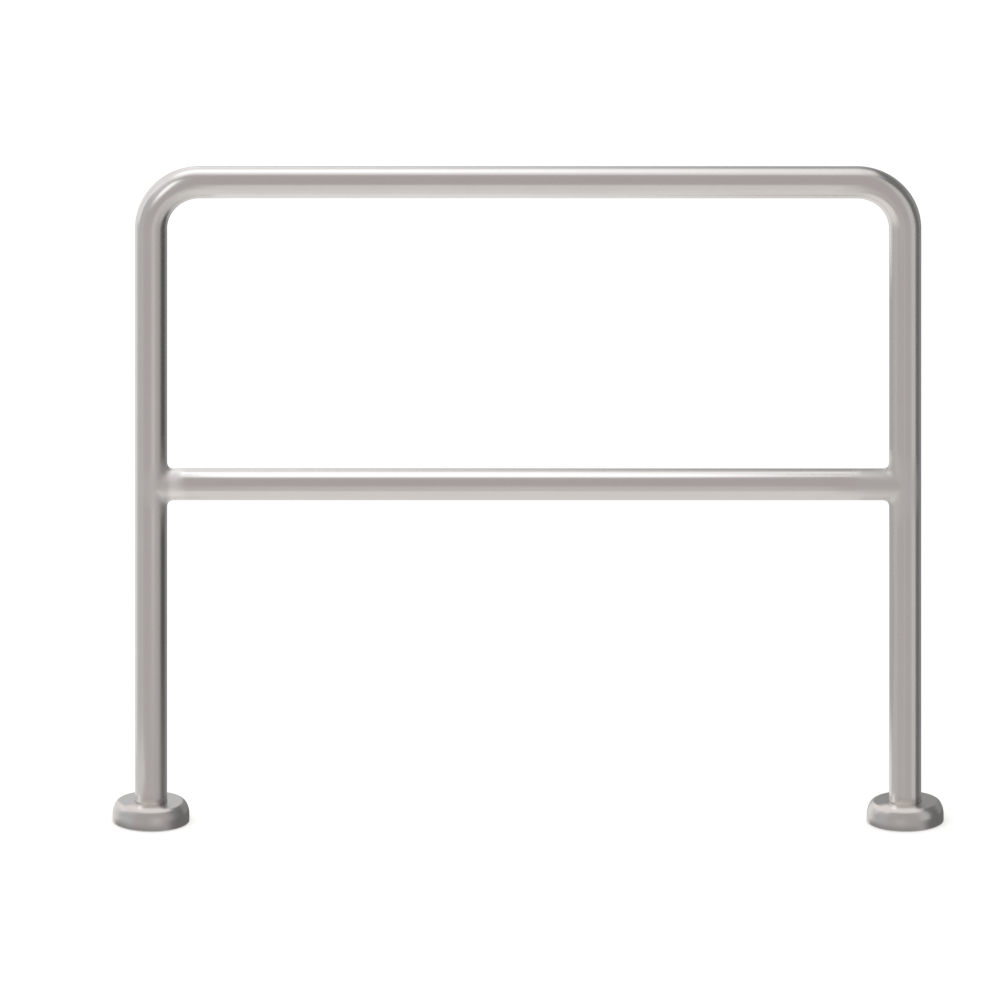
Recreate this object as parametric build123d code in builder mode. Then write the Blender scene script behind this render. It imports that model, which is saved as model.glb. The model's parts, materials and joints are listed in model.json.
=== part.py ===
from build123d import *
import os

# Welded handrail. Millimetres: X along the rails, Y front to back, Z up from the floor.

post_spacing = 990.0  # between the post axes
handrail_height = 900.0  # floor to the top of the handrail
mid_rail_height = 463.0  # floor to the mid rail's axis

tube_diameter = 42.4
tube_wall = 2.0
mid_rail_inset = 0.2  # mid rail's radius under the posts', so that its saddle ends seat within their width
bend_ratio = 1.5  # elbow's centreline radius over the tube's diameter

butt_weld_width = 3.0  # gap between the tube ends that the weld fills
butt_weld_crown = 0.03  # height left proud after grinding
mid_weld_radius = 8.0  # hollow of the ground fillet weld

socket_clearance = 0.15  # post in the flange, all round
post_setback = 1.5  # post's end above the flange's underside
flange_thickness = 8.0
flange_weld_leg = 4.0
flange_edge = 1.0  # chamfer on the upper rim
bolt_count = 4
bolt_hole_diameter = 11.0  # for M10 anchors
bolt_room = 10.8  # weld's toe to a bolt's axis, room for the washer
bolt_edge = 11.0  # bolt's axis to the flange's rim

cover_gap = 1.0  # flange's rim to the inside of the cover
cover_wall = 2.5
shoulder_width = 9.5  # quarter ellipse between the cover's wall and its top
shoulder_rise = 19.5
foot_ratio = 0.8  # round at the cover's foot over its wall
cover_clearance = 0.3  # post in the cover's bore, all round
hub_gap = 4.0  # flange weld to the hub under the cover's top
hub_depth = 9.5
hub_wall = 2.4  # outside the ring's groove
ring_section = 2.6  # O-ring's thickness
ring_clearance = 0.05  # ring on the post
groove_clearance = 0.2  # round the ring in its groove

# What follows from the sizes above

tube_radius = tube_diameter / 2
bore_radius = tube_radius - tube_wall
mid_rail_radius = tube_radius - mid_rail_inset
bend_radius = bend_ratio * tube_diameter
rail_axis = handrail_height - tube_radius
bend_start = rail_axis - bend_radius  # height where the posts turn
post_top = bend_start - butt_weld_width
rail_end = post_spacing / 2 - bend_radius - butt_weld_width  # half the straight top rail
weld_reach = tube_diameter + 2 * mid_weld_radius  # rods that the mid rail's welds are rounded on

bolt_circle_radius = tube_radius + flange_weld_leg + bolt_room
flange_radius = bolt_circle_radius + bolt_edge

hub_bottom = flange_thickness + flange_weld_leg + hub_gap
cover_height = hub_bottom + hub_depth + cover_wall
cover_radius = flange_radius + cover_gap + cover_wall
shoulder_start = cover_height - shoulder_rise  # height where the wall begins to turn in
shoulder_centre = cover_radius - shoulder_width
cover_bore = tube_radius + cover_clearance
ring_height = hub_bottom + hub_depth / 2
ring_radius = tube_radius + ring_clearance + ring_section / 2
groove_radius = ring_radius + ring_section / 2 + groove_clearance
groove_width = ring_section + 2 * groove_clearance
hub_radius = groove_radius + hub_wall

os.makedirs("parts", exist_ok=True)


def save(piece, label):
    piece.label = label
    export_step(piece, "parts/" + label + ".step")


# Rails

with BuildPart() as top_rail:
    with BuildSketch(Plane.YZ.offset(-rail_end)):
        with Locations((0, rail_axis)):
            Circle(tube_radius)
            Circle(bore_radius, mode=Mode.SUBTRACT)
    extrude(amount=2 * rail_end)
save(top_rail.part, "top_rail")

with BuildPart() as mid_rail:
    with BuildSketch(Plane.YZ.offset(-post_spacing / 2)):
        with Locations((0, mid_rail_height)):
            Circle(mid_rail_radius)
            Circle(mid_rail_radius - tube_wall, mode=Mode.SUBTRACT)
    extrude(amount=post_spacing)
    # saddle ends, cut to the posts
    with Locations((-post_spacing / 2, 0, mid_rail_height), (post_spacing / 2, 0, mid_rail_height)):
        Cylinder(tube_radius, 2 * weld_reach, mode=Mode.SUBTRACT)
save(mid_rail.part, "mid_rail")

# Everything else comes once for each post; inward points to the middle of the rail

for side, inward in (("left", 1), ("right", -1)):
    post_x = -inward * post_spacing / 2
    section = Plane((post_x, 0, 0), x_dir=(inward, 0, 0), z_dir=(0, -inward, 0))  # inward and up
    post_line = Axis((post_x, 0, 0), (0, 0, 1))

    with BuildPart() as post:
        with BuildSketch(Plane((post_x, 0, post_setback))):
            Circle(tube_radius)
            Circle(bore_radius, mode=Mode.SUBTRACT)
        extrude(amount=post_top - post_setback)
    save(post.part, side + "_post")

    with BuildPart() as elbow:
        with BuildSketch(Plane((post_x, 0, bend_start))):
            Circle(tube_radius)
            Circle(bore_radius, mode=Mode.SUBTRACT)
        revolve(axis=Axis((post_x + inward * bend_radius, 0, bend_start), (0, inward, 0)), revolution_arc=90)
    save(elbow.part, side + "_elbow")

    # butt welds at both ends of the elbow: the bead's section, turned round the tube's axis
    with BuildPart() as elbow_post_weld:
        with BuildSketch(section):
            with BuildLine():
                Polyline((tube_radius, bend_start), (bore_radius, bend_start), (bore_radius, post_top),
                         (tube_radius, post_top))
                ThreePointArc((tube_radius, post_top),
                              (tube_radius + butt_weld_crown, bend_start - butt_weld_width / 2),
                              (tube_radius, bend_start))
            make_face()
        revolve(axis=post_line)
    save(elbow_post_weld.part, side + "_elbow_post_weld")

    with BuildPart() as elbow_rail_weld:
        with BuildSketch(section):
            with BuildLine():
                Polyline((bend_radius, rail_axis + tube_radius), (bend_radius, rail_axis + bore_radius),
                         (bend_radius + butt_weld_width, rail_axis + bore_radius),
                         (bend_radius + butt_weld_width, rail_axis + tube_radius))
                ThreePointArc((bend_radius + butt_weld_width, rail_axis + tube_radius),
                              (bend_radius + butt_weld_width / 2, rail_axis + tube_radius + butt_weld_crown),
                              (bend_radius, rail_axis + tube_radius))
            make_face()
        revolve(axis=Axis((0, 0, rail_axis), (1, 0, 0)))
    save(elbow_rail_weld.part, side + "_elbow_rail_weld")

    # mid rail's weld: round the corner between two full rods, then take the rods away
    with BuildPart() as mid_rods:
        with BuildSketch(Plane((post_x, 0, mid_rail_height), x_dir=(-inward, 0, 0), z_dir=(0, 0, 1))):
            Circle(tube_radius)
        extrude(amount=weld_reach, both=True)
        with BuildSketch(Plane((post_x, 0, mid_rail_height), x_dir=(0, inward, 0), z_dir=(inward, 0, 0))):
            Circle(mid_rail_radius)
        extrude(amount=weld_reach)
    with BuildPart() as mid_rail_weld:
        add(mid_rods.part)
        fillet(mid_rail_weld.edges().filter_by(GeomType.BSPLINE), mid_weld_radius)
        add(mid_rods.part, mode=Mode.SUBTRACT)
    save(mid_rail_weld.part, side + "_mid_rail_weld")

    with BuildPart() as base_flange:
        with BuildSketch(Plane((post_x, 0, 0))):
            Circle(flange_radius)
            Circle(tube_radius + socket_clearance, mode=Mode.SUBTRACT)
            with PolarLocations(bolt_circle_radius, bolt_count, start_angle=180 / bolt_count):
                Circle(bolt_hole_diameter / 2, mode=Mode.SUBTRACT)
        extrude(amount=flange_thickness)
        rim = base_flange.faces().sort_by(Axis.Z)[-1].outer_wire()
        chamfer(rim.edges(), flange_edge)
    save(base_flange.part, side + "_base_flange")

    with BuildPart() as flange_weld:
        with BuildSketch(section):
            with BuildLine():
                Polyline((tube_radius, flange_thickness + flange_weld_leg), (tube_radius, flange_thickness),
                         (tube_radius + flange_weld_leg, flange_thickness))
                RadiusArc((tube_radius + flange_weld_leg, flange_thickness),
                          (tube_radius, flange_thickness + flange_weld_leg), 2 * flange_weld_leg)
            make_face()
        revolve(axis=post_line)
    save(flange_weld.part, side + "_flange_weld")

    with BuildPart() as cover:
        # the cap's outside, then its hollow one wall further in
        for inset, mode in ((0, Mode.ADD), (cover_wall, Mode.SUBTRACT)):
            with BuildSketch(section):
                with BuildLine():
                    Polyline((shoulder_centre, cover_height - inset), (cover_bore, cover_height - inset),
                             (cover_bore, 0), (cover_radius - inset, 0), (cover_radius - inset, shoulder_start))
                    EllipticalCenterArc((shoulder_centre, shoulder_start), shoulder_width - inset,
                                        shoulder_rise - inset, arc_size=90)
                make_face()
            revolve(axis=post_line, mode=mode)
        foot = cover.edges().group_by(Axis.Z)[0].sort_by(SortBy.LENGTH)[-1]
        fillet(foot, foot_ratio * cover_wall)
        # hub under the top face, with the ring's groove in its bore
        with BuildSketch(section):
            with Locations((cover_bore, hub_bottom)):
                Rectangle(hub_radius - cover_bore, hub_depth, align=(Align.MIN, Align.MIN))
        revolve(axis=post_line)
        with BuildSketch(section):
            with Locations((cover_bore, ring_height)):
                Rectangle(groove_radius - cover_bore, groove_width, align=(Align.MIN, Align.CENTER))
        revolve(axis=post_line, mode=Mode.SUBTRACT)
    save(cover.part, side + "_cover")

    with BuildPart() as cover_ring:
        with BuildSketch(section):
            with Locations((ring_radius, ring_height)):
                Circle(ring_section / 2)
        revolve(axis=post_line)
    save(cover_ring.part, side + "_cover_ring")
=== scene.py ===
import bpy
import json
import math
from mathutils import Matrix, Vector

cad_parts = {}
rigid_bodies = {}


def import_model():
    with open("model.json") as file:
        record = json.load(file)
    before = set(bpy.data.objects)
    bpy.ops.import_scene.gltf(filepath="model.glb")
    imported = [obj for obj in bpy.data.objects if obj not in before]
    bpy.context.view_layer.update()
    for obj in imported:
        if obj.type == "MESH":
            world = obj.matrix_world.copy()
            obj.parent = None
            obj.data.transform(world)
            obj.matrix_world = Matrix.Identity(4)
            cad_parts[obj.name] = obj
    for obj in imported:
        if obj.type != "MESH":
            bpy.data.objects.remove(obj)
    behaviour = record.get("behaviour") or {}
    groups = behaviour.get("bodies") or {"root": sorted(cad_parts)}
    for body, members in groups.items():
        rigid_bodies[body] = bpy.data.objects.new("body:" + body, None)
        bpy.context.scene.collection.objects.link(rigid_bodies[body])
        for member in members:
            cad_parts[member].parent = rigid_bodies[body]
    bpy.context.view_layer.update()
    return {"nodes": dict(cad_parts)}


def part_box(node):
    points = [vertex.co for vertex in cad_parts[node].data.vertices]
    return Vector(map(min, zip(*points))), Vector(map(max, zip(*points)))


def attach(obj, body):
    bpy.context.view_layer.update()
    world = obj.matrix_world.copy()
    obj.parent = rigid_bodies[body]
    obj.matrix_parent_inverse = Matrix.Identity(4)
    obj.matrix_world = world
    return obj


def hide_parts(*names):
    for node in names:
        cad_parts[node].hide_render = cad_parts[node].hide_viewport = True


# Welded stainless handrail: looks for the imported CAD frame, in metres, in the same frame

for leftover in list(bpy.data.objects):  # start from an empty scene
    bpy.data.objects.remove(leftover)

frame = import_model()
nodes = frame["nodes"]
mm = 0.001
sides = (("left", -1), ("right", 1))
print("frame loaded:", len(nodes), "nodes")

# Places that the finishes follow, read from the frame

postLow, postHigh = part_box("right_post")
railLow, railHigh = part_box("mid_rail")
bendLow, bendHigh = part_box("right_elbow")
weldLow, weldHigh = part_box("right_flange_weld")

postX = (postLow.x + postHigh.x) / 2
tubeRadius = (postHigh.x - postLow.x) / 2
railRadius = (railHigh.z - railLow.z) / 2
midRailZ = (railLow.z + railHigh.z) / 2
topRailZ = bendHigh.z - tubeRadius
bendCentreX = bendLow.x
bendCentreZ = bendLow.z
bendRadius = postX - bendCentreX


def linear(hexCode):
    # sRGB hex to the linear colour that the shader takes
    parts = [int(hexCode[i:i + 2], 16) / 255 for i in (1, 3, 5)]
    return [c / 12.92 if c <= 0.04045 else ((c + 0.055) / 1.055) ** 2.4 for c in parts] + [1.0]


def addNode(tree, kind, settings, inputs):
    # settings are the node's own properties; an input is a value or the socket to link from
    node = tree.nodes.new(kind)
    for key, value in settings.items():
        setattr(node, key, value)
    for key, value in inputs.items():
        if isinstance(value, bpy.types.NodeSocket):
            tree.links.new(value, node.inputs[key])
        else:
            node.inputs[key].default_value = value
    return node


# Nodes that come often: each of these gives the socket to link from


def maths(tree, operation, *values):
    return addNode(tree, "ShaderNodeMath", {"operation": operation}, dict(enumerate(values))).outputs[0]


def smoothStep(tree, value, start, end, first=0.0, last=1.0):
    # softly from first to last while the value goes from start to end
    return addNode(tree, "ShaderNodeMapRange", {"interpolation_type": "SMOOTHSTEP"},
                   {"Value": value, "From Min": start, "From Max": end,
                    "To Min": first, "To Max": last}).outputs[0]


def mixColours(tree, share, first, second):
    return addNode(tree, "ShaderNodeMix", {"data_type": "RGBA"}, {0: share, 6: first, 7: second}).outputs[2]


def objectPlace(tree):
    return addNode(tree, "ShaderNodeTexCoord", {}, {}).outputs["Object"]


def distance(tree, place, point):
    return addNode(tree, "ShaderNodeVectorMath", {"operation": "DISTANCE"},
                   {0: place, 1: point}).outputs["Value"]


def noise(tree, place, size, detail, roughness=0.5):
    # cloudy pattern with features of a real size
    return addNode(tree, "ShaderNodeTexNoise", {},
                   {"Vector": place, "Scale": 1 / size, "Detail": detail, "Roughness": roughness}).outputs[0]


def axesOf(tree, vector):
    # three sockets, X, Y and Z
    return addNode(tree, "ShaderNodeSeparateXYZ", {}, {0: vector}).outputs


def newMaterial(name):
    material = bpy.data.materials.new(name)
    material.use_nodes = True
    material.node_tree.nodes.clear()
    return material, material.node_tree


def show(tree, shader):
    addNode(tree, "ShaderNodeOutputMaterial", {}, {"Surface": shader.outputs[0]})


def showMetal(tree, inputs):
    show(tree, addNode(tree, "ShaderNodeBsdfPrincipled", {}, {"Metallic": 1.0, **inputs}))


def meshObject(name, vertices, faces, smooth=False):
    mesh = bpy.data.meshes.new(name)
    mesh.from_pydata(vertices, [], faces)
    mesh.update()
    for face in mesh.polygons:
        face.use_smooth = smooth
    piece = bpy.data.objects.new(name, mesh)
    bpy.context.scene.collection.objects.link(piece)
    return piece


# Camera, with no perspective: the photo's posts stay parallel

cameraSet = {
    "tilt": 17.5,  # degrees down, from the ovals of the two base covers
    "distance": 8.0,  # clear of the part, and without effect on the picture
    "frameWidth": 1.3127,  # metres across the picture
    "aim": (-0.0369, 0.0, 0.4415),  # the middle of the picture
}

tilt = math.radians(cameraSet["tilt"])
backward = Vector((0, -math.cos(tilt), math.sin(tilt)))
cameraData = bpy.data.cameras.new("camera")
cameraData.type = "ORTHO"
cameraData.ortho_scale = cameraSet["frameWidth"]
camera = bpy.data.objects.new("camera", cameraData)
camera.location = Vector(cameraSet["aim"]) + cameraSet["distance"] * backward
camera.rotation_euler = (math.pi / 2 - tilt, 0, 0)
bpy.context.scene.collection.objects.link(camera)
bpy.context.scene.camera = camera
bpy.context.scene.view_settings.view_transform = "Standard"
print("camera set")

# Studio: white world and floor, one soft lamp overhead, and cards that only the metal sees

studio = {
    "worldLight": 0.85,  # what the world gives to matt surfaces
    "floorSize": 12.0,
    "floorColour": "#F4F4F3",
    "floorLift": 0.25,  # camera's share, brings the lit floor to white
    "lampPower": 16.0,
    "lampSize": (2.4, 1.6),
    "lampPlace": (-0.4, -0.3, 2.8),
}

world = bpy.data.worlds.new("white studio")
world.use_nodes = True
world.node_tree.nodes.clear()
bpy.context.scene.world = world
tree = world.node_tree
path = addNode(tree, "ShaderNodeLightPath", {}, {}).outputs
seen = maths(tree, "MAXIMUM", path["Is Camera Ray"], path["Is Glossy Ray"])
seen = maths(tree, "MAXIMUM", seen, path["Is Transmission Ray"])
level = addNode(tree, "ShaderNodeMapRange", {},
                {"Value": seen, "To Min": studio["worldLight"], "To Max": 1.0})
background = addNode(tree, "ShaderNodeBackground", {},
                     {"Color": linear("#FFFFFF"), "Strength": level.outputs[0]})
addNode(tree, "ShaderNodeOutputWorld", {}, {"Surface": background.outputs[0]})

floorMaterial, tree = newMaterial("white studio floor, matt paint")
path = addNode(tree, "ShaderNodeLightPath", {}, {}).outputs
lift = maths(tree, "MULTIPLY", path["Is Camera Ray"], studio["floorLift"])
paint = addNode(tree, "ShaderNodeBsdfDiffuse", {}, {"Color": linear(studio["floorColour"])})
glow = addNode(tree, "ShaderNodeEmission", {}, {"Strength": lift})
show(tree, addNode(tree, "ShaderNodeAddShader", {}, {0: paint.outputs[0], 1: glow.outputs[0]}))

half = studio["floorSize"] / 2
floor = meshObject("floor", [(-half, -half, 0), (half, -half, 0), (half, half, 0), (-half, half, 0)],
                   [(0, 1, 2, 3)])
floor.data.materials.append(floorMaterial)
floor.visible_glossy = False  # the metal sees cards below it instead

lampData = bpy.data.lights.new("overhead lamp", "AREA")
lampData.shape = "RECTANGLE"
lampData.size, lampData.size_y = studio["lampSize"]
lampData.energy = studio["lampPower"]
lamp = bpy.data.objects.new("overhead lamp", lampData)
lamp.location = studio["lampPlace"]
lamp.visible_glossy = False
bpy.context.scene.collection.objects.link(lamp)

# Cards. Each fades in from its edges over four widths: at the start and the end of its width, at its bottom
# and its top. A one-sided card is lit on one face and clear from the other

# Flat cards: the middle, and half of each side as an arrow
flatCards = {
    # overhead: the highlight along the tops of the rails, and the dark that ends it at the right
    "ceiling softbox": {
        "middle": (-0.4, 0.4, 2.1), "across": (1.0, 0, 0), "up": (0, 0.54, 0),
        "colour": "#F8FCFF", "level": 1.6, "fade": (0.5, 0.8, 0.25, 0.3)},
    "ceiling flag": {
        "middle": (2.6, 1.3, 2.3), "across": (1.65, 0, 0), "up": (0, 2.2, 0),
        "colour": "#F8FCFF", "level": 0.22, "fade": (0.3, 0.5, 2.0, 0.8)},
    "back ceiling flag": {
        "middle": (0.92, 2.0, 2.32), "across": (1.27, 0, 0), "up": (0, 1.0, 0),
        "colour": "#F8FCFF", "level": 0.35, "fade": (1.1, 0.3, 0.4, 0.5)},
    # before and beside
    "front bounce": {
        "middle": (0, -1.6, 0.13), "across": (0.6, 0, 0), "up": (0, 0, 0.57),
        "colour": "#FFFCFB", "level": 0.70, "fade": (0.3, 0.3, 0.35, 0.35)},
    "left front pane": {
        "middle": (-0.90, -0.536, 1.28), "across": (0.130, -0.109, 0), "up": (0, 0, 0.42),
        "colour": "#FAFDFF", "level": 1.6, "fade": (0.1, 0.1, 0.25, 0.15)},
    "left pane": {
        "middle": (-2.6, 0.58, 1.75), "across": (0, 0.4, 0), "up": (0, 0, 1.4),
        "colour": "#F8FCFF", "level": 1.2, "fade": (0.15, 0.15, 0.3, 0.3)},
    "right front pane": {
        "middle": (1.576, -0.26, 0.8), "across": (-0.98, 0.12, 0), "up": (0, 0, 1.4),
        "colour": "#FDFFFD", "level": 0.68, "fade": (0.6, 0.06, 0.3, 0.5), "oneSided": True},
    # close under the handrail: the mid rail below sees the strip, the handrail above sees the sheets
    "strip under the handrail": {
        "middle": (0, -0.088, 0.845), "across": (0.46, 0, 0), "up": (0, -0.132, 0),
        "colour": "#F8FCFF", "level": 1.7, "fade": (0.03, 0.3, 0.03, 0.12), "oneSided": True},
    "sheet before the handrail": {
        "middle": (0, -0.675, 0.846), "across": (0.45, 0, 0), "up": (0, 0.625, 0),
        "colour": "#FFFCFB", "level": 0.82, "fade": (0.04, 0.04, 0.5, 0.02), "oneSided": True},
    "sheet under the handrail": {
        "middle": (0, 0.015, 0.846), "across": (0.43, 0, 0), "up": (0, 0.045, 0),
        "colour": "#FCFEFF", "level": 1.0, "fade": (0.03, 0.5, 0.01, 0.02), "oneSided": True},
    # far behind, for the edges of the tubes
    "back pane": {
        "middle": (-0.6, 3.9, 2.6), "across": (1.0, 0, 0), "up": (0, 0, 0.8),
        "colour": "#F8FCFF", "level": 1.35, "fade": (0.3, 1.0, 0.3, 0.3)},
    "back flag": {
        "middle": (2.6, 4.0, 1.2), "across": (3.5, 0, 0), "up": (0, 0, 3.8),
        "colour": "#F8FCFD", "level": 0.33, "fade": (1.4, 1.5, 1.0, 3.6)},
    "back low wall": {
        "middle": (0.4, 4.1, 0.05), "across": (2.4, 0, 0), "up": (0, 0, 1.85),
        "colour": "#F8FCFF", "level": 0.62, "fade": (0.8, 0.8, 1.0, 0.5)},
    # what the metal sees in place of the floor
    "floor sheet": {
        "middle": (-15.35, 0, -9.8), "across": (24.65, 0, 0), "up": (0, 40.0, 0),
        "colour": "#FFFEFC", "level": 0.95, "fade": (4.0, 14.0, 4.0, 4.0)},
    "floor under sheet": {
        "middle": (0, 0, -10.0), "across": (40.0, 0, 0), "up": (0, 40.0, 0),
        "colour": "#FFFFFF", "level": 0.62, "fade": (4.0, 4.0, 4.0, 4.0)},
    "left floor bounce": {
        "middle": (-0.80, -0.02, -0.001), "across": (0.20, 0, 0), "up": (0, 0.25, 0),
        "colour": "#FFFFFF", "level": 0.78, "fade": (0.25, 0.08, 0.1, 0.1)},
    # on the inner side of each post and lit toward it, for its dimmer edges
    "left post upper shade": {
        "middle": (-postX + 0.04, -0.014, 0.653), "across": (0, -0.018, 0), "up": (0, 0, 0.178),
        "colour": "#F4FDF9", "level": 0.11, "fade": (0.012, 0.018, 0.065, 0.016), "oneSided": True},
    "left post lower shade": {
        "middle": (-postX + 0.04, -0.014, 0.23), "across": (0, -0.018, 0), "up": (0, 0, 0.2),
        "colour": "#F4FDF9", "level": 0.11, "fade": (0.012, 0.018, 0.25, 0.05), "oneSided": True},
    "right post front shade": {
        "middle": (postX - 0.095, -0.675, 0.39), "across": (0, 0.525, 0), "up": (0, 0, 0.41),
        "colour": "#FFFAFA", "level": 0.55, "fade": (0.3, 0.05, 0.1, 0.1), "oneSided": True},
    "right post upper shade": {
        "middle": (postX - 0.06, 0.039, 0.639), "across": (0, 0.051, 0), "up": (0, 0, 0.151),
        "colour": "#F9FDFD", "level": 0.53, "fade": (0.01, 0.06, 0.01, 0.1), "oneSided": True},
    "right post lower shade": {
        "middle": (postX - 0.06, 0.039, 0.244), "across": (0, 0.051, 0), "up": (0, 0, 0.194),
        "colour": "#F9FDFD", "level": 0.53, "fade": (0.01, 0.06, 0.12, 0.01), "oneSided": True},
}
for side, sign in sides:  # the short streak at the left of each foot: on the post, and on the cover
    flatCards[side + " foot glint"] = {
        "middle": (sign * postX - 0.0205, -0.0141, 0.0371), "across": (0, 0.0047, 0), "up": (0, 0, 0.0089),
        "colour": "#FFFFFF", "level": 0.9, "fade": (0.0025, 0.0025, 0.0005, 0.013), "oneSided": True}
    flatCards[side + " cover glint"] = {
        "middle": (sign * postX - 0.0145, -0.026, 0.0306), "across": (-0.005, 0, 0), "up": (0, 0.016, 0),
        "colour": "#FFFFFF", "level": 1.25, "fade": (0.0045, 0.0045, 0.009, 0.008), "oneSided": True}

# Curved walls round the middle of the floor: turn from and to in degrees (0 in front, 90 to the right), and
# the lowest and highest point
curvedWalls = {
    "front wall": {
        "radius": 14.0, "turn": (-66, 100), "rise": (-9.6, 60.0),
        "colour": "#FFFAFA", "level": 0.535, "fade": (2.8, 2.0, 5.0, 30.0)},
    "left wall": {
        "radius": 13.0, "turn": (-128, -54), "rise": (-9.0, 9.0),
        "colour": "#F9FDFD", "level": 0.61, "fade": (6.0, 1.4, 4.6, 3.6)},
    "left upper wall": {
        "radius": 12.8, "turn": (-88, -52), "rise": (4.0, 26.0),
        "colour": "#F9FDFD", "level": 0.72, "fade": (3.0, 1.5, 3.0, 8.0)},
    "right flag": {
        "radius": 12.0, "turn": (46, 158), "rise": (-9.0, 20.0),
        "colour": "#F8FDFB", "level": 0.19, "fade": (9.6, 10.5, 2.0, 4.5)},
}

# Rings round each post's foot, over the cover: inner and outer radius, the height at each, and the turn. The
# last two fades are at the inside and the outside. A dark fence stands round the cover: painted shade that
# the metal sees in place of the floor's shadow at the cover's foot. It begins under the floor because the
# metal sees through the floor
footRings = {
    "front foot ring": {
        "rings": (0.0225, 0.056), "heights": (0.0315, 0.034), "turn": (-80, 45),
        "colour": "#FFFCFB", "level": 1.05, "fade": (0.004, 0.01, 0.003, 0.008), "oneSided": True},
    "left foot ring": {
        "rings": (0.038, 0.062), "heights": (0.0342, 0.0342), "turn": (-82, -50),
        "colour": "#FFFFFF", "level": 1.2, "fade": (0.004, 0.004, 0.003, 0.008), "oneSided": True},
    # painted shade: dark fences that the metal sees as the floor's shadow round each cover
    "front foot fence": {
        "rings": (0.077, 0.077), "heights": (-0.03, 0.0005), "turn": (-110, 40),
        "colour": "#FFFFFF", "level": 0.28, "fade": (0.03, 0.03, 0.01, 0.009)},
    "right foot fence": {
        "rings": (0.076, 0.076), "heights": (-0.03, 0.016), "turn": (20, 160),
        "colour": "#FFFFFF", "level": 0.2, "fade": (0.05, 0.05, 0.01, 0.006)},
}
curvedSteps = 24


def stageCard(name, card, columns, width, height):
    # columns: lowest and highest point, from one side of the card to the other
    last = len(columns) - 1
    sheet = meshObject(name, [point for column in columns for point in column],
                       [(2 * i, 2 * i + 2, 2 * i + 3, 2 * i + 1) for i in range(last)])
    layer = sheet.data.uv_layers.new(name="card")
    for loop, corner in zip(sheet.data.loops, layer.data):
        column, end = divmod(loop.vertex_index, 2)
        corner.uv = (column / last, end)
    material, tree = newMaterial(name)
    material.cycles.emission_sampling = "NONE"
    onCard = axesOf(tree, addNode(tree, "ShaderNodeUVMap", {"uv_map": "card"}, {}).outputs[0])
    shown = 1.0
    if card.get("oneSided"):
        face = addNode(tree, "ShaderNodeNewGeometry", {}, {})
        shown = maths(tree, "SUBTRACT", 1.0, face.outputs["Backfacing"])
    edges = (("X", 0, 1, width), ("X", 1, -1, width), ("Y", 0, 1, height), ("Y", 1, -1, height))
    for (axis, edge, inward, size), fade in zip(edges, card["fade"]):
        soft = smoothStep(tree, onCard[axis], edge, edge + inward * fade / size)
        shown = maths(tree, "MULTIPLY", soft, shown)
    clear = addNode(tree, "ShaderNodeBsdfTransparent", {}, {})
    light = addNode(tree, "ShaderNodeEmission", {},
                    {"Color": linear(card["colour"]), "Strength": card["level"]})
    show(tree, addNode(tree, "ShaderNodeMixShader", {},
                       {0: shown, 1: clear.outputs[0], 2: light.outputs[0]}))
    sheet.data.materials.append(material)
    sheet.visible_camera = False
    sheet.visible_diffuse = False
    sheet.visible_shadow = False
    sheet.visible_transmission = False


def turnSteps(card):
    # the angle of a curved card, and unit directions from its start to its end
    start, end = (math.radians(angle) for angle in card["turn"])
    turns = [start + (end - start) * i / curvedSteps for i in range(curvedSteps + 1)]
    return end - start, [(math.sin(turn), -math.cos(turn)) for turn in turns]


for name, card in flatCards.items():
    middle, across, up = Vector(card["middle"]), Vector(card["across"]), Vector(card["up"])
    columns = [(middle + end * across - up, middle + end * across + up) for end in (-1, 1)]
    stageCard(name, card, columns, 2 * across.length, 2 * up.length)

for name, card in curvedWalls.items():
    swept, ways = turnSteps(card)
    low, high = card["rise"]
    radius = card["radius"]
    columns = [[(radius * x, radius * y, z) for z in (low, high)] for x, y in ways]
    stageCard(name, card, columns, radius * swept, high - low)

for name, card in footRings.items():
    swept, ways = turnSteps(card)
    inner, outer = card["rings"]
    low, high = card["heights"]
    for side, sign in sides:
        columns = [[(sign * postX + r * x, r * y, z) for r, z in ((inner, low), (outer, high))]
                   for x, y in ways]
        stageCard(side + " " + name, card, columns, inner * swept, math.hypot(outer - inner, high - low))
print("studio set")

# Stainless tube, belt ground round and round: soft streaked gloss, fine rings across the tube, cloudy
# patches. Weld metal is ground flush with a flap wheel: hazier, its scratches in no one direction, and the
# haze runs out over the tube beside it

tubeFinish = {
    "colour": "#DDD9D6",
    "cloudColour": "#D8D3D0",
    "roughness": 0.195,
    "ringWidth": 1.6 * mm,  # real grit lines are about 0.1 mm: drawn coarse enough to show
    "ringLength": 30 * mm,
    "ringRoughness": 0.03,
    "ringHeight": 0.0025 * mm,
    "cloudSize": 70 * mm,
    "cloudRoughness": 0.03,
    "midHaze": 0.25,  # added roughness at the mid rail's welds
    "midHazeReach": (12 * mm, 45 * mm),  # left and right joint, over the rail
    "postHazeReach": (28 * mm, 45 * mm),  # over the posts
    "buttHaze": 0.018,
    "buttHazeReach": 20 * mm,
    "scratchSize": 5 * mm,
    "paintedLightColour": "#F2EEEB",  # painted highlight: the mid rail's left weld drawn lighter than the tube
    "paintedLightRise": (-3 * mm, 7 * mm),  # out from the post's side: none and full
    "paintedLightFall": (26 * mm, 44 * mm),  # round a point on the rail's axis inside the post: full and none
    "paintedLightDepth": 10 * mm,  # of that point
}
jointX = postX - tubeRadius
leftJoint, rightJoint = (-jointX, 0, midRailZ), (jointX, 0, midRailZ)


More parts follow.
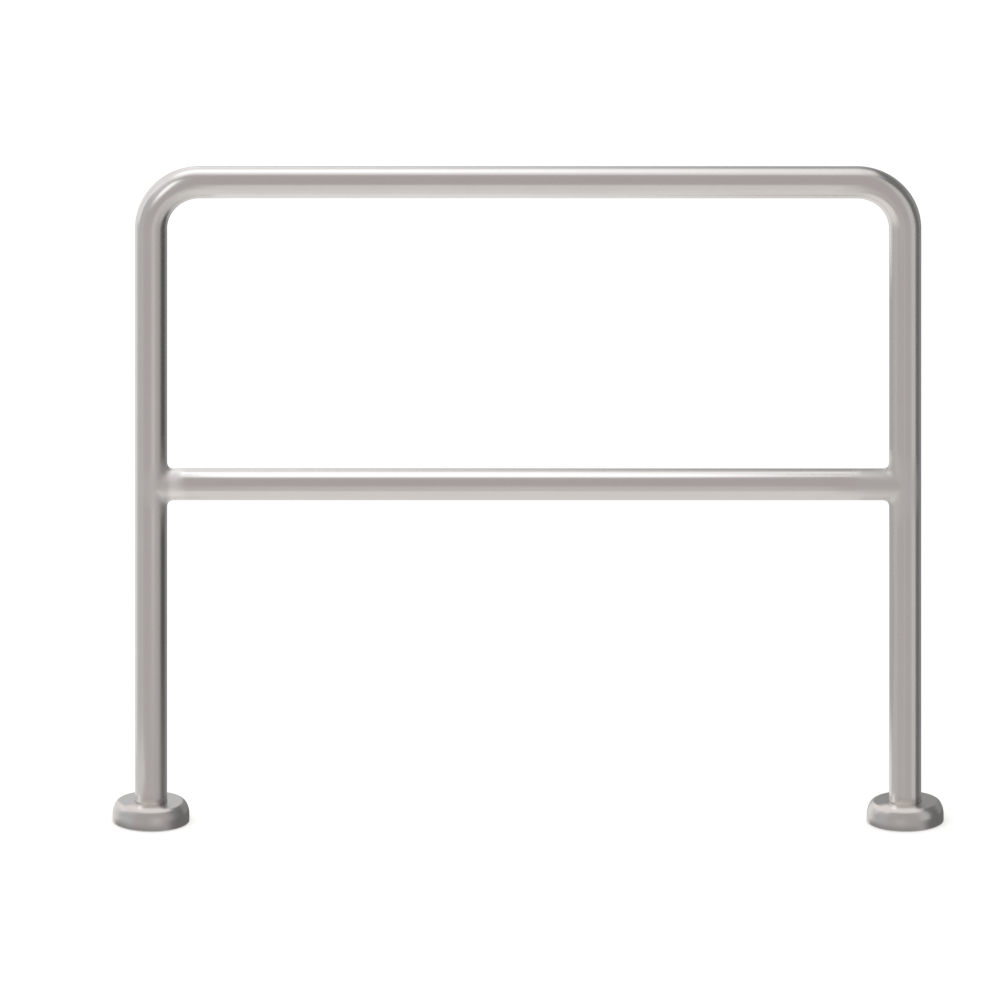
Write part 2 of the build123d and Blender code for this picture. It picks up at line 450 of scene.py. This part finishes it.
def grindLines(tree, place, direction):
    # noise squeezed along the tube, and round the arc of a bend
    if direction == "bend":
        axes = axesOf(tree, place)
        out = maths(tree, "ABSOLUTE", axes["X"])
        dx = maths(tree, "SUBTRACT", out, bendCentreX)
        dz = maths(tree, "SUBTRACT", axes["Z"], bendCentreZ)
        arc = maths(tree, "MULTIPLY", maths(tree, "ARCTAN2", dz, dx), bendRadius)
        place = addNode(tree, "ShaderNodeCombineXYZ", {}, {0: out, 1: axes["Y"], 2: arc}).outputs[0]
    thin, long = 1 / tubeFinish["ringWidth"], 1 / tubeFinish["ringLength"]
    scratch = 1 / tubeFinish["scratchSize"]
    scale = {"level": (thin, long, long), "upright": (long, long, thin), "bend": (long, long, thin),
             "ground": (scratch, scratch, scratch)}[direction]
    squeezed = addNode(tree, "ShaderNodeMapping", {}, {"Vector": place, "Scale": scale}).outputs[0]
    return noise(tree, squeezed, size=1.0, detail=4.0, roughness=0.7)


def hazeBesideWelds(tree, place, direction):
    # the tube's roughness with the haze added: where it is, how wide it is there, how much
    leftReach, rightReach = tubeFinish["midHazeReach" if direction == "level" else "postHazeReach"]
    joints = [(leftJoint, leftReach, tubeFinish["midHaze"]), (rightJoint, rightReach, tubeFinish["midHaze"])]
    for sign in (-1, 1):
        for end in ((sign * postX, 0, bendCentreZ), (sign * bendCentreX, 0, topRailZ)):
            joints.append((end, tubeFinish["buttHazeReach"], tubeFinish["buttHaze"]))
    rough = tubeFinish["roughness"]
    for point, reach, haze in joints:
        far = distance(tree, place, point)
        near = smoothStep(tree, far, tubeRadius, tubeRadius + reach, first=haze, last=0.0)
        rough = maths(tree, "ADD", near, rough)
    return rough


def brightShare(tree, place):
    # where the painted highlight lies: 1 on the mid rail's left weld, 0 on the post and out on the rail
    none, full = tubeFinish["paintedLightRise"]
    rise = smoothStep(tree, axesOf(tree, place)["X"], -jointX + none, -jointX + full)
    full, none = tubeFinish["paintedLightFall"]
    far = distance(tree, place, (-jointX - tubeFinish["paintedLightDepth"], 0, midRailZ))
    return smoothStep(tree, far, full, none, first=rise, last=0.0)


def satinTube(name, direction):
    material, tree = newMaterial(name)
    place = objectPlace(tree)
    lines = grindLines(tree, place, direction)
    clouds = noise(tree, place, tubeFinish["cloudSize"], detail=3.0)
    rough = hazeBesideWelds(tree, place, direction)
    rough = maths(tree, "MULTIPLY_ADD", lines, tubeFinish["ringRoughness"], rough)
    rough = maths(tree, "MULTIPLY_ADD", clouds, tubeFinish["cloudRoughness"], rough)
    tint = mixColours(tree, clouds, linear(tubeFinish["colour"]), linear(tubeFinish["cloudColour"]))
    # painted highlight: a lighter colour on the mid rail's left weld and the rail's end beside it
    if direction in ("level", "ground"):
        tint = mixColours(tree, brightShare(tree, place), tint, linear(tubeFinish["paintedLightColour"]))
    bump = addNode(tree, "ShaderNodeBump", {},
                   {"Height": lines, "Strength": 1.0, "Distance": tubeFinish["ringHeight"]})
    showMetal(tree, {"Base Color": tint, "Roughness": rough, "Normal": bump.outputs[0]})
    return material


tubeNames = {
    "upright": ["left_post", "right_post"],
    "level": ["top_rail", "mid_rail"],
    "bend": ["left_elbow", "right_elbow"],
    "ground": [name for name in nodes if name.endswith("_weld") and not name.endswith("_flange_weld")],
}
tubeSteel = {}
for direction, names in tubeNames.items():
    label = "stainless tube, belt ground, " + direction
    if direction == "ground":
        label = "stainless weld, flap ground"
    tubeSteel[direction] = satinTube(label, direction)
    for name in names:
        nodes[name].data.materials[0] = tubeSteel[direction]
print("tubes finished")

# Mid rail's welds: filled into the corner and ground to a soft hollow that runs out on the tubes without
# an edge

midWeld = {
    "corner": 10 * mm,  # size of the hollow above and below the rail
    "flank": 0.6 * mm,  # and at the rail's flanks
    "reach": 14 * mm,  # from the seam to each rim, above and below the rail
    "flankReach": 4 * mm,
    "stepsRound": 112,
    "stepsAcross": 28,
    "proud": 0.03 * mm,  # at the seam, so that the tubes don't show through
    "dive": 0.09 * mm,  # under the tubes at the rims
    "diveLate": 4,  # power of the way out to the rim
    "sunk": 0.3 * mm,  # of the hidden underside
    "passes": 5,
    "nudge": 0.01 * mm,
    "leastSlope": 1e-6,
}


def weldField(u, y, w, blend):
    # distance outside post and rail, rounded together; u inward from the post's axis, w up from the rail's
    post, rail = math.hypot(u, y) - tubeRadius, math.hypot(y, w) - railRadius
    if not blend:
        return min(post, rail)
    turn = w * w / (y * y + w * w)  # 1 in the corner above and below the rail, 0 at its flanks
    size = midWeld["flank"] + (midWeld["corner"] - midWeld["flank"]) * turn
    share = max(size - abs(post - rail), 0) / size
    return min(post, rail) - share * share * size / 4


def onField(point, blend, lift):
    # steps along the field's slope until the point lies "lift" outside the surface
    step = midWeld["nudge"]
    for turn in range(midWeld["passes"]):
        here = weldField(*point, blend)
        slope = []
        for i in range(3):
            beside = list(point)
            beside[i] += step
            slope.append((weldField(*beside, blend) - here) / step)
        steep = max(sum(s * s for s in slope), midWeld["leastSlope"])
        point = [p - (here - lift) * s / steep for p, s in zip(point, slope)]
    return point


for side, sign in sides:
    vertices = []
    faces = []
    around, across = midWeld["stepsRound"], midWeld["stepsAcross"]
    for blend in (True, False):  # the top, then the hidden underside
        for i in range(around):
            turn = 2 * math.pi * (i + 0.5) / around
            y, w = railRadius * math.sin(turn), railRadius * math.cos(turn)
            reach = midWeld["flankReach"] + (midWeld["reach"] - midWeld["flankReach"]) * math.cos(turn) ** 2
            arc = tubeRadius * math.asin(y / tubeRadius)  # round the post, from its inner side
            for j in range(across + 1):
                out = 2 * j / across - 1  # -1 at the rim on the post, 1 at the rim on the rail
                s = out * reach
                if s >= 0:  # along the rail
                    point = [math.sqrt(tubeRadius ** 2 - y * y) + s, y, w]
                else:  # away over the post
                    grow = 1 - s / math.hypot(arc, w)
                    point = [tubeRadius * math.cos(arc * grow / tubeRadius),
                             tubeRadius * math.sin(arc * grow / tubeRadius), w * grow]
                dive = (midWeld["proud"] + midWeld["dive"]) * out ** midWeld["diveLate"]
                lift = midWeld["proud"] - dive if blend else -midWeld["sunk"]
                u, v, h = onField(point, blend, lift)
                vertices.append((sign * (postX - u), v, midRailZ + h))
    row = across + 1
    under = around * row
    for i in range(around):
        here, after = i * row, (i + 1) % around * row
        for j in range(across):
            faces.append((here + j, here + j + 1, after + j + 1, after + j))
            faces.append((under + here + j, under + after + j, under + after + j + 1, under + here + j + 1))
        for j, flip in ((0, False), (across, True)):
            rim = (here + j, after + j, under + after + j, under + here + j)
            faces.append(rim[::-1] if flip else rim)
    if side == "right":
        faces = [face[::-1] for face in faces]
    weld = meshObject(side + "_mid_rail_weld_blend", vertices, faces, smooth=True)
    for edge in weld.data.edges:  # crisp rims
        ends = [v % under % row for v in edge.vertices]
        edge.use_edge_sharp = ends[0] == ends[1] and ends[0] in (0, across)
    weld.data.materials.append(tubeSteel["ground"])
    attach(weld, "frame")
    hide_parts(side + "_mid_rail_weld")
print("mid rail welds made")

# Base cover: spun stainless cap, satin turned, so fine rings lie round the post

coverFinish = {
    "colour": "#D3CFCC",
    "roughness": 0.275,
    "ringWidth": 1.3 * mm,
    "ringRoughness": 0.03,
    "ringHeight": 0.005 * mm,
}
spunCover, tree = newMaterial("stainless cap, spun and satin turned")
axes = axesOf(tree, objectPlace(tree))
fromPost = maths(tree, "SUBTRACT", maths(tree, "ABSOLUTE", axes["X"]), postX)
flat = addNode(tree, "ShaderNodeCombineXYZ", {}, {0: fromPost, 1: axes["Y"]}).outputs[0]
radius = addNode(tree, "ShaderNodeVectorMath", {"operation": "LENGTH"}, {0: flat}).outputs["Value"]
profile = maths(tree, "SUBTRACT", radius, axes["Z"])
rings = addNode(tree, "ShaderNodeTexNoise", {"noise_dimensions": "1D"},
                {"W": profile, "Scale": 1 / coverFinish["ringWidth"],
                 "Detail": 3.0, "Roughness": 0.7}).outputs[0]
rough = maths(tree, "MULTIPLY_ADD", rings, coverFinish["ringRoughness"], coverFinish["roughness"])
bump = addNode(tree, "ShaderNodeBump", {}, {"Height": rings, "Distance": coverFinish["ringHeight"]})
showMetal(tree, {"Base Color": linear(coverFinish["colour"]), "Roughness": rough, "Normal": bump.outputs[0]})
for name in ("left_cover", "right_cover"):
    nodes[name].data.materials[0] = spunCover
print("covers finished")

# Flange: laser cut plate, pickled, so dull grey and mottled

flangeFinish = {
    "colour": "#A8A5A1",
    "stainColour": "#96928D",
    "roughness": 0.42,
    "mottle": 6 * mm,
    "mottleRoughness": 0.16,
}
pickledPlate, tree = newMaterial("stainless plate, pickled")
mottle = noise(tree, objectPlace(tree), flangeFinish["mottle"], detail=6.0, roughness=0.7)
tint = mixColours(tree, mottle, linear(flangeFinish["colour"]), linear(flangeFinish["stainColour"]))
rough = maths(tree, "MULTIPLY_ADD", mottle, flangeFinish["mottleRoughness"], flangeFinish["roughness"])
showMetal(tree, {"Base Color": tint, "Roughness": rough})
for name in ("left_base_flange", "right_base_flange"):
    nodes[name].data.materials[0] = pickledPlate
print("flanges finished")

# Cover ring: black EPDM, moulded, matt with a faint bloom

ringFinish = {
    "colour": "#1C1C1D",
    "bloomColour": "#2B2B2B",
    "roughness": 0.55,
    "bloom": 1.5 * mm,
    "bloomRoughness": 0.15,
    "ior": 1.52,
}
rubber, tree = newMaterial("EPDM rubber, moulded")
bloom = noise(tree, objectPlace(tree), ringFinish["bloom"], detail=4.0)
tint = mixColours(tree, bloom, linear(ringFinish["colour"]), linear(ringFinish["bloomColour"]))
rough = maths(tree, "MULTIPLY_ADD", bloom, ringFinish["bloomRoughness"], ringFinish["roughness"])
show(tree, addNode(tree, "ShaderNodeBsdfPrincipled", {},
                   {"Base Color": tint, "Roughness": rough, "IOR": ringFinish["ior"]}))
for name in ("left_cover_ring", "right_cover_ring"):
    nodes[name].data.materials[0] = rubber
print("cover rings finished")

# Flange weld: TIG bead left as welded, in overlapping ripples round the post, straw tinted by heat at its top

bead = {
    "leg": weldHigh.z - weldLow.z,
    "ripples": 54,
    "stepsPerRipple": 6,
    "stepsUp": 10,
    "rippleDepth": 0.22 * mm,
    "lag": 0.8,  # of a ripple's edges behind its middle, in ripples
    "belly": 0.35 * mm,
    "rootSink": 0.05 * mm,
}
beadFinish = {
    "colour": "#BDB6AE",
    "tintColour": "#A88D63",
    "tintFrom": 0.5,  # of the height
    "roughness": 0.30,
    "grain": 0.8 * mm,
    "grainRoughness": 0.2,
}

rawWeld, tree = newMaterial("stainless weld, as welded")
place = objectPlace(tree)
grain = noise(tree, place, beadFinish["grain"], detail=4.0)
tintLow = weldLow.z + beadFinish["tintFrom"] * bead["leg"]
share = smoothStep(tree, axesOf(tree, place)["Z"], tintLow, weldHigh.z)
tint = mixColours(tree, share, linear(beadFinish["colour"]), linear(beadFinish["tintColour"]))
rough = maths(tree, "MULTIPLY_ADD", grain, beadFinish["grainRoughness"], beadFinish["roughness"])
showMetal(tree, {"Base Color": tint, "Roughness": rough})

for side, sign in sides:
    vertices = []
    faces = []
    around = bead["ripples"] * bead["stepsPerRipple"]
    up = bead["stepsUp"]
    ringSize = up + 2
    root = tubeRadius - bead["rootSink"]
    for i in range(around):
        turn = 2 * math.pi * i / around
        for j in range(up + 1):
            v = j / up  # 0 at the flange, 1 at the post
            crescent = (i / bead["stepsPerRipple"] - bead["lag"] * (2 * v - 1) ** 2) % 1.0
            dip = bead["rippleDepth"] * crescent ** 2 * math.sin(math.pi * v)
            swell = bead["belly"] * math.sin(math.pi * v) - dip
            r = tubeRadius + bead["leg"] * (1 - v) + swell / math.sqrt(2)
            z = weldLow.z + bead["leg"] * v + swell / math.sqrt(2)
            vertices.append((sign * postX + r * math.cos(turn), r * math.sin(turn), z))
        vertices.append((sign * postX + root * math.cos(turn), root * math.sin(turn),
                         weldLow.z - bead["rootSink"]))
    for i in range(around):
        here, after = i * ringSize, (i + 1) % around * ringSize
        for j in range(ringSize):
            nextJ = (j + 1) % ringSize
            faces.append((here + j, after + j, after + nextJ, here + nextJ))
    weld = meshObject(side + "_flange_weld_bead", vertices, faces, smooth=True)
    weld.data.materials.append(rawWeld)
    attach(weld, "frame")
    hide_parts(side + "_flange_weld")
print("flange weld beads made")
